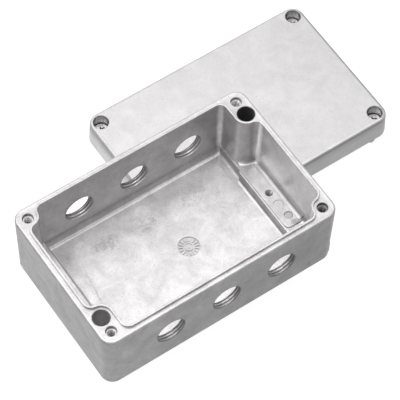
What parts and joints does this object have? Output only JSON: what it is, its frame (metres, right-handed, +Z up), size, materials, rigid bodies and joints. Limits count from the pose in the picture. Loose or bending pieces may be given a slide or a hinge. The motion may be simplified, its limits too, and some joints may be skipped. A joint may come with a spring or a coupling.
{
  "type": "die cast enclosure",
  "caption": "Open die cast aluminium box with threaded cable entries, standing on the flat of its lid with captive corner screws.",
  "frame": {"origin": "centre of the footprint, on the plane of the lid screws' tips", "axes": "+X along the box, away from the base and towards the lid; +Y across the box, towards the lid; +Z up, out of the open base"},
  "size_m": [0.1934, 0.127, 0.0666],
  "materials": {
    "cast_aluminium": "fine as-cast surface, lightly blasted",
    "gasket_rubber": "matt black cord",
    "screw_steel": "bright stainless steel"
  },
  "bodies": {
    "box": {"base": "cast_aluminium", "lid": "cast_aluminium", "lid_gasket": "gasket_rubber"},
    "screw_front_left": {"lid_screw_front_left": "screw_steel"},
    "screw_front_right": {"lid_screw_front_right": "screw_steel"},
    "screw_back_left": {"lid_screw_back_left": "screw_steel"},
    "screw_back_right": {"lid_screw_back_right": "screw_steel"}
  },
  "joints": [
    {"name": "turn_front_left", "type": "hinge", "parent": "box", "child": "screw_front_left", "pos_m": [-0.02225, -0.0105, 0.016], "axis": [0, 0, 1], "continuous": true},
    {"name": "turn_front_right", "type": "hinge", "parent": "box", "child": "screw_front_right", "pos_m": [0.09075, -0.0105, 0.016], "axis": [0, 0, 1], "continuous": true},
    {"name": "turn_back_left", "type": "hinge", "parent": "box", "child": "screw_back_left", "pos_m": [-0.02225, 0.0575, 0.016], "axis": [0, 0, 1], "continuous": true},
    {"name": "turn_back_right", "type": "hinge", "parent": "box", "child": "screw_back_right", "pos_m": [0.09075, 0.0575, 0.016], "axis": [0, 0, 1], "continuous": true}
  ]
}
